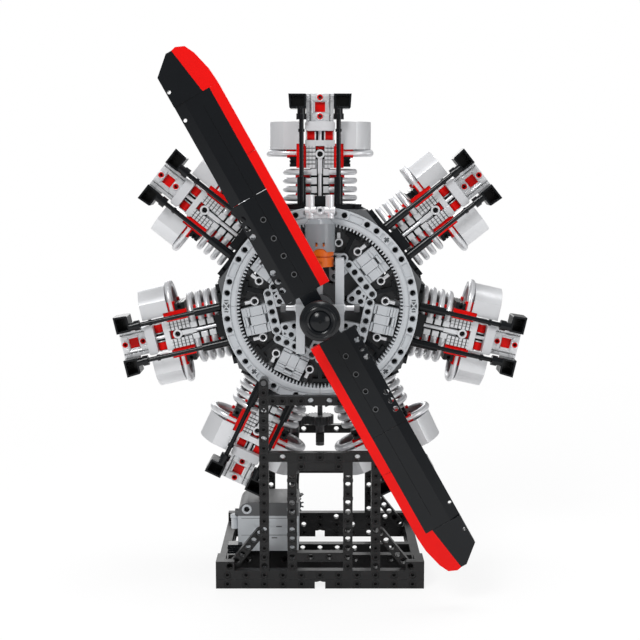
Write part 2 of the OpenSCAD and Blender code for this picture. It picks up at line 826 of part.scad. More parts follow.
module blade_panels() {
    color(black_c) each_blade() difference() {
        union() {
            panel_piece(blade_root_r, panel_splits[0]);
            panel_piece(panel_splits[0] + seam_gap, panel_splits[1]);
            box([-3, -2, panel_splits[0]], [3, 2, panel_splits[0] + seam_gap]);
        }
        for (z = pin_stations) translate([-2, 0, z]) rod_y(hole_r, -10, 10);
        for (z = [40, 89], k = [-1:1]) translate([panel_x0 + 3.6, 0, z + k * pitch])
            rod_y(hole_r, -10, 10);
        translate([panel_x0 + 2.5, 0, tip_start - 13]) rod_y(1.5, -10, 10);
        box([seam_x - 0.25, -blade_half_t - 1, 30], [seam_x + 0.25, -blade_half_t + 0.9, tip_start - 10]);
    }
}

module blade_strips() {
    color(red_c) each_blade() {
        box([panel_x1, -blade_half_t, blade_root_r], [strip_x1, blade_half_t, strip_split]);
        box([panel_x1, -blade_half_t, strip_split + seam_gap], [strip_x1, blade_half_t, tip_start]);
        box([panel_x1, -2, strip_split], [strip_x1 - 2, 2, strip_split + seam_gap]);
    }
}

red_tip_x0 = panel_x1 - 6;
module blade_tips_black() {
    color(black_c) each_blade() difference() {
        translate([0, blade_half_t, 0]) rotate([90, 0, 0]) linear_extrude(height = 2 * blade_half_t)
            polygon([
                [panel_x0, tip_start],
                [red_tip_x0, tip_start],
                [red_tip_x0 - 6, blade_tip_r],
                [red_tip_x0 - 11, blade_tip_r],
                [panel_x0, 226]]);
        translate([panel_x0 + 2.5, 0, tip_start + 12]) rod_y(1.5, -10, 10);
    }
}

module blade_tips_red() {
    color(red_c) each_blade()
        translate([0, blade_half_t, 0]) rotate([90, 0, 0]) linear_extrude(height = 2 * blade_half_t)
            polygon([
                [red_tip_x0, tip_start],
                [strip_x1, tip_start],
                [strip_x1 - 1, 213],
                [strip_x1 - 5, 229],
                [strip_x1 - 9, 237],
                [red_tip_x0 - 2, blade_tip_r + 1],
                [red_tip_x0 - 6, blade_tip_r]]);
}

module prop_hub() {
    color(black_c) translate([0, 0, shaft_z]) difference() {
        union() {
            rod_y(9, blade_y - 12, blade_y + 12);
            rotate([0, -blade_lean, 0])
                box([-7.5, blade_y - 4, -blade_root_r], [7.5, blade_y + 4, blade_root_r]);
            rod_y(6, spinner_y + 8, blade_y - 12);
        }
        rod_y(axle_r, spinner_y, blade_y + 13);
    }
}

// The tyre is round outside and holds the dome in its flat inner wall
tyre_t = 5.4;
dome_r = spinner_d / 2 - tyre_t - 0.1;
dome_ball_r = 13;
dome_sink = sqrt(dome_ball_r * dome_ball_r - dome_r * dome_r);
module spinner_tyre() {
    color(black_c) translate([0, spinner_y, shaft_z]) rotate([90, 0, 0]) rotate_extrude()
        translate([spinner_d / 2 - tyre_t, 0]) intersection() {
            circle(r = tyre_t);
            translate([0, -tyre_t]) square(2 * tyre_t);
        }
}

module spinner_dome() {
    color(black_c) translate([0, spinner_y, shaft_z]) difference() {
        union() {
            rod_y(dome_r, -2, 8);
            intersection() {
                translate([0, dome_sink - 2, 0]) sphere(r = dome_ball_r);
                rod_y(dome_r, -10, -2);
            }
        }
        box([-1.2, -10, -0.4], [1.2, dome_sink - 2 - dome_ball_r + 1, 0.4]);
        box([-0.4, -10, -1.2], [0.4, dome_sink - 2 - dome_ball_r + 1, 1.2]);
    }
}

// ---------- cylinders ----------

foot_block_y = foot_front_y - 2;
module foot_plates() {
    color(black_c) each_station() {
        difference() {
            box([-foot_half_w, foot_front_y, foot_r], [foot_half_w, foot_back_y, barrel_r]);
            for (s = [-1, 1]) translate([s * (foot_half_w - 7), 0, foot_r + foot_t / 2])
                rod_y(1.4, foot_front_y - 1, foot_front_y + 8);
        }
        box([-10, foot_block_y, barrel_r], [10, cyl_y - fin_half_d - bush_half - 0.3, barrel_r + 7]);
    }
}

module barrel_cores() {
    core_x = column_x0 - 0.1;
    color(black_c) each_station() {
        box([-8.5, cyl_y - core_half_d, barrel_r], [8.5, cyl_y + core_half_d, column_r0]);
        box([-core_x, cyl_y - core_half_d, column_r0], [core_x, cyl_y + core_half_d, bar_r0]);
    }
}

// A hose bent into a U round the side of the cylinder
module hose_loop(d, half_d, x0, reach) {
    xc = reach - d / 2 - half_d;
    translate([xc, cyl_y, 0]) rotate([0, 0, -90]) rotate_extrude(angle = 180)
        translate([half_d, 0]) circle(r = d / 2);
    for (s = [-1, 1]) translate([0, cyl_y + s * half_d, 0]) rod_x(d / 2, x0, xc);
}

fin_half_d = core_half_d + fin_d / 2;
bush_half = fin_d / 2 + 0.25;
module fin_stack() {
    for (k = [0:fins - 1]) translate([0, 0, fin_first_r + k * fin_step]) {
        hose_loop(fin_d, fin_half_d, 3.2, fin_reach);
        // square bush on the front limb
        box([2.8, cyl_y - fin_half_d - bush_half, -bush_half],
            [7.6, cyl_y - fin_half_d + fin_d / 2, bush_half]);
    }
}
module fins_right() { color(silver_c) each_station() fin_stack(); }
module fins_left() { color(silver_c) each_station() mirror([1, 0, 0]) fin_stack(); }

column_front_y = cyl_y - block_half_d;
module column_blocks() {
    color(silver_c) each_station() {
        both() difference() {
            union() {
                box([column_x0, column_front_y, column_r0],
                    [column_x1, cyl_y + block_half_d, collar_step_r]);
                box([column_x0, column_front_y, collar_step_r],
                    [column_x1 + 1, cyl_y + block_half_d, column_r1]);
            }
            for (k = [0:4])
                box([column_x0 - 1, column_front_y - 1, column_r0 + 3 + k * 3.4],
                    [column_x1 + 2, column_front_y + 0.7, column_r0 + 3.9 + k * 3.4]);
            for (k = [1:2])
                box([column_x0 + k * 2.7, column_front_y - 1, column_r0 - 1],
                    [column_x0 + k * 2.7 + 0.4, column_front_y + 0.4, collar_step_r + 1]);
        }
        box([-column_x0 - 1, column_front_y + 0.5, collar_step_r],
            [column_x0 + 1, cyl_y - core_half_d - 0.1, column_r1]);
    }
}

tube_step_r = barrel_r + 23.5;
tube_cup_r = box_r0 - 9.5;
module pushrod_tubes() {
    color(black_c) each_station() both() translate([tube_x, tube_y, 0]) {
        rod_z(3.75, barrel_r, tube_step_r);
        rod_z(2, tube_step_r, tube_cup_r);
        rod_z(2.8, bar_r0 - 1, bar_r0 + 1.5);
        rod_z(4.5, tube_cup_r, tube_cup_r + 5);
        rod_z(3.6, tube_cup_r + 5, box_r0);
    }
}

collar_half_d = 22;
module red_collars() {
    collar_y = cyl_y - collar_half_d;
    color(red_c) each_station() both() {
        box([column_x1, collar_y, column_r0], [collar_x1, cyl_y + collar_half_d, collar_step_r]);
        box([column_x1 + 1, collar_y, collar_step_r], [collar_x1, cyl_y + collar_half_d, collar_top]);
    }
}

clip_half_d = 21;
clip_r0 = column_r0 + 1;
clip_w = 6;
module black_clips() {
    color(black_c) each_station() both() difference() {
        box([collar_x1, cyl_y - clip_half_d, clip_r0],
            [collar_x1 + clip_w, cyl_y + clip_half_d, loop_r - loop_d / 2]);
        translate([collar_x1 + 2.7, 0, clip_r0 + 4.5])
            rod_y(1.6, cyl_y - clip_half_d - 1, cyl_y - clip_half_d + 7);
        for (k = [1:2])
            box([collar_x1 + clip_w - 0.7, cyl_y - clip_half_d - 1, clip_r0 + k * 2.9],
                [collar_x1 + clip_w + 1, cyl_y + clip_half_d + 1, clip_r0 + k * 2.9 + 0.8]);
    }
}

loop_half_d = 18;
module head_loop() { translate([0, 0, loop_r]) hose_loop(loop_d, loop_half_d, collar_x1, loop_reach); }
module head_loops_right() { color(silver_c) each_station() head_loop(); }
module head_loops_left() { color(silver_c) each_station() mirror([1, 0, 0]) head_loop(); }

// Outline of a cup seen along the cylinder: flat front and back, curved side
cup_flat = 31.8;
cup_x0 = 18;
module cup_outline(inset) {
    rise = cup_reach - cup_flat;
    r = (rise * rise + cup_half_d * cup_half_d) / (2 * rise);
    intersection() {
        translate([cup_reach - r, cyl_y]) circle(r = r - inset);
        translate([cup_x0 + inset, cyl_y - cup_half_d + inset]) square([40, 2 * (cup_half_d - inset)]);
    }
}

module head_cup() {
    difference() {
        translate([0, 0, cup_r0]) linear_extrude(height = head_r0 - cup_r0) cup_outline(0);
        translate([0, 0, cup_r0 - 1]) linear_extrude(height = head_r0 - cup_r0 - cup_wall + 1)
            cup_outline(cup_wall);
        box([10, cyl_y - 60, cup_r0 - 1], [collar_x1, cyl_y + 60, collar_top]);
    }
}
module head_cups_right() { color(silver_c) each_station() head_cup(); }
module head_cups_left() { color(silver_c) each_station() mirror([1, 0, 0]) head_cup(); }

module red_barrels() {
    barrel_x0 = column_x0 + 0.6;
    barrel_x1 = column_x1 - 0.6;
    barrel_half_d = 18;
    color(red_c) each_station() both() {
        box([barrel_x0, cyl_y - barrel_half_d, column_r1], [barrel_x1, cyl_y + barrel_half_d, bar_r0]);
        translate([0, cyl_y - barrel_half_d, column_r1 + barrel_h / 2])
            rod_x(barrel_h / 2, barrel_x0, barrel_x1);
    }
}

// Corner points of a rectangle with rounded corners
function rounded(x0, z0, x1, z1, r, n = 4) = [
    for (c = [[x1 - r, z1 - r, 0], [x0 + r, z1 - r, 90], [x0 + r, z0 + r, 180], [x1 - r, z0 + r, 270]],
        k = [0:n])
    [c[0] + r * cos(c[2] + k * 90 / n), c[1] + r * sin(c[2] + k * 90 / n)]];

module white_bars() {
    color(white_c) each_station() facing_front(cyl_y + bar_half_d, 2 * bar_half_d)
        polygon(rounded(-13, bar_r0, 13, head_r0, 2));
}

pin_r0 = head_r0 + 4.6;
pin_r1 = head_r1 - 3.2;
window_r0 = head_r0 + 8.3;
window_r1 = head_r1 - 7;
window_half_w = 5.5;
window_sink = 8;
module rocker_heads() {
    color(silver_c) each_station() difference() {
        box([-12, head_front_y, head_r0], [12, cyl_y + head_half_d, head_r1]);
        for (z = [pin_r0, pin_r1]) translate([0, 0, z]) rod_y(hole_r, head_front_y - 1, cyl_y);
        box([-window_half_w, head_front_y - 1, window_r0],
            [window_half_w, head_front_y + window_sink, window_r1]);
        for (z = [window_r0 - 0.6, window_r1 + 0.2])
            box([-13, head_front_y - 1, z], [13, head_front_y + 0.8, z + 0.5]);
        for (s = [-1, 1])
            box([s * 8.6 - 0.4, head_front_y - 1, head_r0 - 1],
                [s * 8.6 + 0.4, head_front_y + 0.7, head_r1 + 1]);
    }
}

module rocker_pins() {
    color(red_c) each_station() {
        for (z = [pin_r0, pin_r1]) translate([0, 0, z]) difference() {
            rod_y(hole_r, head_front_y - 0.6, cyl_y - 4);
            rod_y(1.5, head_front_y - 2, cyl_y - 3);
        }
        box([-window_half_w, head_front_y + 3, window_r0],
            [window_half_w, head_front_y + window_sink, window_r1]);
    }
}

box_back_y = cyl_y - 10;
box_d = 22;
box_wall = 1.6;
module rocker_boxes() {
    color(black_c) each_station() both() difference() {
        facing_front(box_back_y, box_d)
            polygon([[12, box_r0], [25.6, box_r0], [26.4, box_r0 + 0.9], [27.2, box_r1], [12, box_r1]]);
        facing_front(box_back_y - box_wall, box_d) polygon([
            [12 + box_wall, box_r0 + box_wall],
            [24.8, box_r0 + box_wall],
            [25.5, box_r1 - box_wall],
            [12 + box_wall, box_r1 - box_wall]]);
    }
}

base_front_beam();
base_rear_beam();
base_side_rails();
corner_blocks();
front_uprights();
rear_uprights();
cross_beams();
inner_posts();
corner_braces();
rear_depth_beams();
bearing_beams();
motor_cradle();
motor_housing();
motor_band();
motor_shaft();
lay_shaft();
centre_shaft();
ring_pins();
front_plate();
rear_plate();
ring_quarter(0);  // ring_quarter_1
ring_quarter(1);  // ring_quarter_2
ring_quarter(2);  // ring_quarter_3
ring_quarter(3);  // ring_quarter_4
valve_blocks();
tappets();
frame_beams();
corner_plates();
levers();
front_cage();
clear_sleeve();
silver_fittings();
piston();
connecting_rod();
crankshaft();
prop_hub();
blade_panels();
blade_strips();
blade_tips_black();
blade_tips_red();
spinner_tyre();
spinner_dome();
foot_plates();
barrel_cores();
fins_left();
fins_right();
column_blocks();
pushrod_tubes();
red_collars();
black_clips();
head_loops_left();
head_loops_right();
head_cups_left();
head_cups_right();
red_barrels();
white_bars();
rocker_heads();
rocker_pins();
rocker_boxes();
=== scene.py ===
"""Finishes and fine pieces of the seven-cylinder radial engine model on its beam stand."""
import json
import math

import bpy
import bmesh
from mathutils import Matrix, Vector


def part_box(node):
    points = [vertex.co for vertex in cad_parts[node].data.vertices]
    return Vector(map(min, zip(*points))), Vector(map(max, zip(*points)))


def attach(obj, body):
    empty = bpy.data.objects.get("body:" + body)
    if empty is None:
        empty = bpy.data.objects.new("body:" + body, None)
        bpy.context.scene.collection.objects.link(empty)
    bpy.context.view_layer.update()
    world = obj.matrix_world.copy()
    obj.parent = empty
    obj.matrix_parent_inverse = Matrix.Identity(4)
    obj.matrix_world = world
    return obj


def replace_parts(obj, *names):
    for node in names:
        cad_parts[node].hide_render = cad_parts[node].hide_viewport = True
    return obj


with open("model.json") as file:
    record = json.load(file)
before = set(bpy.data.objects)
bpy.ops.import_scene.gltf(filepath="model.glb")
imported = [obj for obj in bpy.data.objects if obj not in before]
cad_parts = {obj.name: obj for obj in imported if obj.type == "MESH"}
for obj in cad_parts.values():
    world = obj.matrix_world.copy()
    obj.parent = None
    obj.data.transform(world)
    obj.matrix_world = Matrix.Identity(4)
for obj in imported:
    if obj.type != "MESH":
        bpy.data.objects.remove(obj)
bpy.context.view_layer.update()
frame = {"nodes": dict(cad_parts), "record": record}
MM = 0.001


# ---------- shader maths ----------

class Value:
    """One output of a tree's nodes; adding to it or multiplying it adds a Math node."""

    def __init__(self, tree, socket):
        self.tree, self.socket = tree, socket

    def maths(self, operation, *terms):
        return self.tree.node("ShaderNodeMath", {"operation": operation}, dict(enumerate(terms)))

    def __add__(self, other):
        return self.maths("ADD", self, other)

    def __mul__(self, other):
        return self.maths("MULTIPLY", self, other)

    __radd__, __rmul__ = __add__, __mul__


class Tree:
    """An emptied node tree of a material or world; node() adds any node and wires it."""

    def __init__(self, owner):
        owner.use_nodes = True
        self.nodes, self.links = owner.node_tree.nodes, owner.node_tree.links
        self.nodes.clear()

    def node(self, kind, settings=None, inputs=None, output=0):
        made = self.nodes.new(kind)
        for name, value in (settings or {}).items():
            setattr(made, name, value)
        for socket, value in (inputs or {}).items():
            self.put(made.inputs[socket], value)
        return Value(self, made.outputs[output]) if made.outputs else None

    def put(self, socket, value):
        if isinstance(value, Value):
            self.links.new(value.socket, socket)
        else:
            socket.default_value = value


class Finish(Tree):
    """A material with one surface, whose sockets drive() sets or links."""

    def __init__(self, name, **constants):
        self.material = bpy.data.materials.new(name)
        super().__init__(self.material)
        self.surface = self.node("ShaderNodeBsdfPrincipled")
        self.shader = self.surface.socket.node
        self.out = self.nodes.new("ShaderNodeOutputMaterial")
        self.put(self.out.inputs["Surface"], self.surface)
        self.drive(**constants)

    def drive(self, **sockets):
        for name, value in sockets.items():
            self.put(self.shader.inputs[name.replace("_", " ")], value)

    def place(self):
        return self.node("ShaderNodeTexCoord", output="Object")

    def noise(self, scale, detail=2.0, rough=0.5):
        return self.node("ShaderNodeTexNoise", None,
                         {"Vector": self.place(), "Scale": scale, "Detail": detail, "Roughness": rough})

    def between(self, factor, a, b):
        """A colour between a and b; 0, 6 and 7 are the colour sockets of the Mix node."""
        return self.node("ShaderNodeMix", {"data_type": "RGBA"}, {0: factor, 6: (*a, 1), 7: (*b, 1)},
                         output=2)


def scaled(colour, k):
    return tuple(min(1.0, c * k) for c in colour)


# Noise scales, in cells to the metre
CLOUDS, TONE, SMUDGES, FLOW_MARKS, GRAIN, FLAKE = 38.0, 60.0, 90.0, 210.0, 2600.0, 5200.0
GRAIN_HEIGHT = 0.2      # millimetres
FLAKE_SPREAD = 0.1      # how much the metal look differs from flake to flake


def moulded(name, colour, rough=0.3, cloud=0.12, grain=0.04, edge=0.35, smudge=0.12, **constants):
    """Moulded plastic: slow clouding of the tone, smudged gloss, fine grain and softened edges."""
    f = Finish(name, **constants)
    tone = f.noise(CLOUDS, 3.0, 0.6) * 0.7 + f.noise(FLOW_MARKS, 2.0, 0.5) * 0.3
    f.drive(Base_Color=f.between(tone, scaled(colour, 1 - cloud), scaled(colour, 1 + cloud)))
    f.drive(Roughness=rough - smudge / 2 + f.noise(SMUDGES, 4.0, 0.65) * smudge)
    soft_edge = f.node("ShaderNodeBevel", {"samples": 4}, {"Radius": edge * MM})
    f.drive(Normal=f.node("ShaderNodeBump", None, {
        "Strength": grain, "Distance": GRAIN_HEIGHT * MM, "Height": f.noise(GRAIN, 3.0, 0.6),
        "Normal": soft_edge}))
    return f


def pearl(name, colour, rough, metallic, **constants):
    """Flat silver plastic: a fine metal flake in the colour under a satin skin."""
    f = moulded(name, colour, rough, cloud=0.05, grain=0.05, **constants)
    flake = f.node("ShaderNodeTexVoronoi", {"feature": "F1"}, {"Vector": f.place(), "Scale": FLAKE},
                   output="Color")
    bright = f.node("ShaderNodeRGBToBW", None, {"Color": flake})
    f.drive(Metallic=metallic - FLAKE_SPREAD / 2 + bright * FLAKE_SPREAD)
    f.drive(Base_Color=f.between(f.noise(TONE, 3.0) * 0.75 + bright * 0.25,
                                 scaled(colour, 0.94), scaled(colour, 1.06)))
    return f


finishes = {
    "stand_dark_grey": moulded("stand_plastic", (0.016, 0.016, 0.0165), 0.36, Specular_IOR_Level=0.22),
    "light_grey": moulded("case_grey_plastic", (0.50, 0.525, 0.55), 0.32, Specular_IOR_Level=0.35),
    "dark_grey": moulded("axle_grey_plastic", (0.105, 0.108, 0.112), 0.35, Specular_IOR_Level=0.25),
    "flat_silver": pearl("cylinder_silver_plastic", (0.74, 0.75, 0.77), 0.30, 0.45),
    "pale_grey": moulded("pale_grey_plastic", (0.58, 0.59, 0.61), 0.30, Specular_IOR_Level=0.4),
    "black": moulded("black_gloss_plastic", (0.0040, 0.0050, 0.0065), 0.20, Specular_IOR_Level=0.27),
    "black_rubber": moulded("tyre_rubber", (0.004, 0.004, 0.0045), 0.42, grain=0.12, Specular_IOR_Level=0.16),
    "red": moulded("red_plastic", (0.72, 0.004, 0.003), 0.30, Specular_IOR_Level=0.15),
    "orange": moulded("orange_plastic", (0.70, 0.13, 0.008), 0.26, Specular_IOR_Level=0.3),
    "clear_grey": moulded("clear_sleeve_plastic", (0.30, 0.32, 0.34), 0.12, Alpha=0.62),
}

for row in frame["record"]["subparts"]:
    piece = frame["nodes"][row["node"]]
    piece.data.materials.clear()
    piece.data.materials.append(finishes[row["material_slot"]].material)


# ---------- sizes of the model, in millimetres and degrees ----------

PITCH = 8.0                         # the building grid of beams, pins and axles
SHAFT_Z = 244.0                     # the engine's shaft over the ground
STATION = 360 / 7                   # from one cylinder to the next
CREASE = math.radians(38)           # edges that fold more than this stay sharp
ROOT = 0.1                          # how far a raised strip reaches into the face behind it

# The stand
SHELF = 12.5 * PITCH                # middle cross beam over the feet of the front uprights
POST_X = 3 * PITCH                  # the inner posts from the middle
REAR_CROSS_BEAMS = (68.0, 108.0, 164.0)     # levels of their middles
EMPTY_HOLES = (4, 14, 17)           # of the front uprights, counted from 0 at the foot
BESIDE_HOLE = 4.6                   # from a hole's middle to the rib beside it

# Distances from the engine's shaft, outward along a cylinder
SOCKET_R = 61.5                     # sockets behind the tappets
SLEEVE_TOP_R = 82                   # cross barrels on the clear sleeve
CONNECTOR_R = 87.5                  # ribbed connectors between the cylinders' feet
BUSH_R0 = 93.5                      # first row of red bushes; the rows are one PITCH apart
COLUMN_R0 = 117.0                   # feet of the column blocks
LOOP_R = 129.85                     # roots of the head loops
BARREL_R = 145.0                    # red barrels under the white bar
HEAD_R0 = 157.0                     # foot of the rocker head

# Depths from the middle of the base; the front is negative
BUSH_Y = -19.0
BARREL_Y = -22.4
CONNECTOR_YS = (-34.0, -26.0)
LOOP_YS = (-22.0, 14.0)
BLADE_Y = -124.0

# The propeller
BLADE_LEAN = 29.15                  # of the upper blade, to the left as seen from the front
BLADE_FACE = -4.0                   # the blades' front face, from BLADE_Y
BLADE_HOLES = (39.0, 56.0, 72.0, 89.0)

# Profiles to be turned, as (radius, height); the pin has a collar and a hollow at each end
PIN = [(1.45, 3.0), (1.45, 0.5), (1.75, 0.2), (2.75, 0.2), (3.0, 0.4), (3.0, 0.75), (2.42, 0.8),
       (2.42, 7.2), (3.0, 7.25), (3.0, 7.6), (2.75, 7.8), (1.75, 7.8), (1.45, 7.5), (1.45, 5.0), (0, 5.0),
       (0, 3.0)]
BUSH = [(2.0, 8.6), (2.0, 12.2), (2.7, 12.4), (2.7, 15.2), (2.0, 15.4), (2.0, 20.8), (1.2, 21.4),
        (0, 21.4), (0, 8.6)]
LOOP_CLIP = [(3.3, 0), (4.2, 0.3), (4.2, 7.7), (3.3, 8.0)]
BLADE_PLUG = [(0, 3.2), (1.3, 3.2), (1.3, 0.6), (1.6, 0.35), (2.42, 0.35), (2.42, 7.0), (0, 7.0)]
BLADE_RIM = [(1.75, 0.34), (1.95, 0.12), (2.3, 0.12), (2.42, 0.4)]
MOTOR_BOSS = [(2.45, 0.6), (2.45, -0.25), (2.75, -0.5), (4.2, -0.5), (4.4, -0.2), (4.4, 0.6)]
MOTOR_SOCKET = [(0, 0), (3.2, 0), (3.2, 9.5), (3.9, 9.8), (3.9, 12.6), (3.2, 13), (0, 13)]
CROWN = [(0, 0), (11.2, 0), (11.2, 2.2), (10.4, 2.6), (0, 2.6)]
CROSS_BARREL = [(0, 0), (3.0, 0), (3.3, 0.3), (3.3, 4.2), (2.9, 4.4), (2.9, 4.8), (3.3, 5.0), (3.3, 8.9),
                (3.0, 9.2), (0, 9.2)]
SLEEVE_EYE = [(1.8, -1.5), (3.3, -1.5), (3.3, 1.5), (1.8, 1.5)]
CAGE_AXLE = [(0, -0.5), (3.5, -0.5), (3.5, 0.9), (2.3, 1.1), (2.3, 9), (0, 9)]
AXLE_SOCKET = [(0, 8.6), (3.4, 8.6), (3.6, 8.8), (3.6, 13), (0, 13)]
SPINNER_RINGS = [(8.0, 1.2), (8.4, 0.4), (9.4, -0.1), (10.6, -0.5), (10.9, -0.2), (12.4, 0.1),
                 (12.7, -0.1), (14.0, 0.9), (15.1, 2.2), (14.8, 2.6), (12.0, 2.0), (8.0, 2.0)]
HEAD_EYE = [(2.5, 0.3), (2.5, -0.5), (3.3, -0.5), (3.6, -0.2), (3.6, 0.3)]
BARREL_FLANGE = [(0, 0), (3.7, 0), (3.9, 0.3), (3.9, 0.7), (0, 0.7)]


# ---------- mesh pieces ----------

class Piece:
    """A mesh built up from turned and extruded parts, in millimetres."""

    def __init__(self, name):
        self.name, self.bm = name, bmesh.new()

    def skin(self, rows, matrix, closed):
        """Join rows of points, each a closed ring, and cap the two ends unless the rows close too."""
        made = [[self.bm.verts.new(matrix @ Vector(p)) for p in row] for row in rows]
        count = len(made[0])
        for a, b in zip(made, made[1:] + made[:1] if closed else made[1:]):
            for i in range(count):
                j = (i + 1) % count
                self.bm.faces.new((a[i], a[j], b[j], b[i]))
        if not closed:
            self.bm.faces.new(made[0])
            self.bm.faces.new(made[-1][::-1])

    def turned(self, profile, matrix, sides=20, start=0.0, sweep=360.0):
        """Turn a closed profile of (radius, height) points about Z."""
        whole = sweep == 360.0
        rows = []
        for k in range(sides if whole else sides + 1):
            angle = math.radians(start + sweep * k / sides)
            rows.append([(r * math.cos(angle), r * math.sin(angle), h) for r, h in profile])
        self.skin(rows, matrix, whole)

    def block(self, a, b, matrix=Matrix()):
        """A box between two opposite corners, the lower left front one first."""
        outline = [(a[0], a[2]), (b[0], a[2]), (b[0], b[2]), (a[0], b[2])]
        self.skin([[(x, y, z) for x, z in outline] for y in (a[1], b[1])], matrix, False)

    def strip(self, x, half, y0, y1, z0, z1, matrix=Matrix()):
        """A block given by its middle and half width across, its two depths and its two levels."""
        self.block((x - half, y0, z0), (x + half, y1, z1), matrix)

    def done(self, slot, body="engine_and_stand", bevel=0.2):
        bmesh.ops.remove_doubles(self.bm, verts=self.bm.verts, dist=1e-4)
        bmesh.ops.recalc_face_normals(self.bm, faces=self.bm.faces)
        bmesh.ops.scale(self.bm, vec=(MM, MM, MM), verts=self.bm.verts)
        mesh = bpy.data.meshes.new(self.name)
        self.bm.to_mesh(mesh)
        self.bm.free()
        mesh.shade_smooth()
        mesh.set_sharp_from_angle(angle=CREASE)
        mesh.materials.append(finishes[slot].material)
        obj = bpy.data.objects.new(self.name, mesh)
        bpy.context.scene.collection.objects.link(obj)
        if bevel:
            soft = obj.modifiers.new("soft_edges", "BEVEL")
            soft.width, soft.segments, soft.limit_method = bevel * MM, 2, "ANGLE"
            soft.angle_limit = CREASE
        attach(obj, body)
        return obj


def moved(x, y, z):
    return Matrix.Translation((x, y, z))


def turn(axis, degrees):
    return Matrix.Rotation(math.radians(degrees), 4, axis)


TO_BACK = turn("X", -90)     # sends Z to the rear


def sideways(side):
    """Sends Z to the left for -1 and to the right for 1."""
    return turn("Y", side * 90)


def stations():
    """The frame of each cylinder: Z outward along it, X to its side."""
    for i in range(7):
        yield moved(0, 0, SHAFT_Z) @ turn("Y", i * STATION)


def blades():
    """The frame of each blade: Z outward along it, X towards its red edge."""
    for half in (0, 180):
        yield moved(0, BLADE_Y, SHAFT_Z) @ turn("Y", half - BLADE_LEAN)


def low(node, axis):
    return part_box(node)[0][axis] / MM


def high(node, axis):
    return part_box(node)[1][axis] / MM


def piston_line():
    """The depth of the piston's middle, which the sleeve and the front cage share."""
    return (low("piston", 1) + high("piston", 1)) / 2


# ---------- stand and motor ----------

def pin(piece, x, front, z, tilt=0.0):
    """A pin, with two small lugs in its mouth, in a hole whose front mouth is at (x, front, z)."""
    place = moved(x, front, z) @ turn("Y", tilt)
    piece.turned(PIN, place @ TO_BACK, sides=16)
    for side in (-1, 1):
        piece.strip(side * 2.1, 0.55, 0.1, 0.35, -0.3, 0.3, place)


def stand_pins():
    """Pins in the front holes of the base, the uprights, the inner posts and the cross beams."""
    piece = Piece("stand_pins")
    front = low("base_front_beam", 1)
    for column in range(-5, 6):
        for row in (0, 1):
            if column or row:
                pin(piece, column * 2 * PITCH, front, (row + 0.5) * PITCH, tilt=45 * (column % 3))
    foot = low("front_uprights", 2)
    span = high("front_uprights", 0) - PITCH / 2
    for side in (-1, 1):
        for k in range(1, 20):
            if k not in EMPTY_HOLES:
                pin(piece, side * span, front, foot + (k + 0.5) * PITCH, tilt=45 + 30 * (k % 3))
        for k in (0, 5, 8):
            pin(piece, side * POST_X, front, foot + (k + 0.5) * PITCH, tilt=45)
    shelf = foot + SHELF
    for k in (-1, 0, 1):
        pin(piece, k * 2 * PITCH, front, shelf)
    for side in (-1, 1):
        pin(piece, side * 2 * PITCH, front, shelf - PITCH)
    for k in (-5, -4, -3, -2, 2, 3, 4, 5):
        pin(piece, k * PITCH, front, high("cross_beams", 2) - PITCH / 2, tilt=20 * k)
    piece.done("stand_dark_grey", bevel=0)


def pocketed(piece, half_span, z, holes, face):
    """Rails and uprights on a beam's face that leave a sunk pocket between each two holes."""
    front, back, half = face - 0.4, face + ROOT, PITCH / 2
    for level in (z - half + 0.05, z + half - 1.05):
        piece.block((-half_span, front, level), (half_span, back, level + 1.0))
    for x in holes:
        for side in (-1, 1):
            rib = x + side * BESIDE_HOLE
            if -half_span < rib < half_span:
                piece.strip(rib, 0.8, front, back, z - half + 0.6, z + half - 0.6)


def stand_relief():
    """The pockets, seams and stepped joints on the faces of the stand's beams."""
    piece, seams_and_groove_shade = Piece("stand_relief"), Piece("stand_seams")
    front, rear = low("cross_beams", 1), low("rear_uprights", 1)
    foot = low("front_uprights", 2)
    shelf = foot + SHELF
    span, short_span = high("front_uprights", 0) - PITCH - 0.2, 2.4 * PITCH
    holes = [k * 2 * PITCH for k in range(-2, 3)]
    pocketed(piece, span, shelf, holes, front)
    pocketed(piece, short_span, shelf - PITCH, (-2 * PITCH, 2 * PITCH), front)
    pocketed(piece, short_span, foot + 1.5 * PITCH, (-PITCH, PITCH), front)
    for z in REAR_CROSS_BEAMS:
        pocketed(piece, span, z, holes, rear)
    post_foot = low("inner_posts", 2)
    for side in (-1, 1):
        for k in range(5):
            z = post_foot + (2 * k + 2) * PITCH
            piece.strip(side * POST_X, 4.3, front - 0.35, front + ROOT, z - 1.6, z + 1.6)
            seams_and_groove_shade.strip(side * POST_X, 4.35, front - 0.38, front, z - 0.2, z + 0.2)
    end = high("base_front_beam", 0)
    for node in ("base_front_beam", "base_rear_beam"):
        face = low(node, 1)
        for k in range(1, round(high(node, 2) / PITCH)):
            for x0, x1 in ((-end, -BESIDE_HOLE), (BESIDE_HOLE, end)):
                seams_and_groove_shade.block((x0, face - 0.05, k * PITCH - 0.15), (x1, face + ROOT, k * PITCH + 0.15))
    piece.done("stand_dark_grey", bevel=0.2)
    seams_and_groove_shade.done("black", bevel=0)


def rear_pins():
    """Pins in the front holes of the rear base beam and the rear uprights."""
    piece = Piece("rear_pins")
    front = low("base_rear_beam", 1)
    for column in range(-5, 6):
        for row in (0, 1, 2):
            if (column + row) % 3:
                pin(piece, column * 2 * PITCH, front, (row + 0.5) * PITCH, tilt=45 * (column % 3))
    foot = low("rear_uprights", 2)
    span = high("rear_uprights", 0) - PITCH / 2
    for side in (-1, 1):
        for k in range(20):
            if k % 3:
                pin(piece, side * span, front, foot + (k + 0.5) * PITCH, tilt=30 * k)
    piece.done("stand_dark_grey", bevel=0)


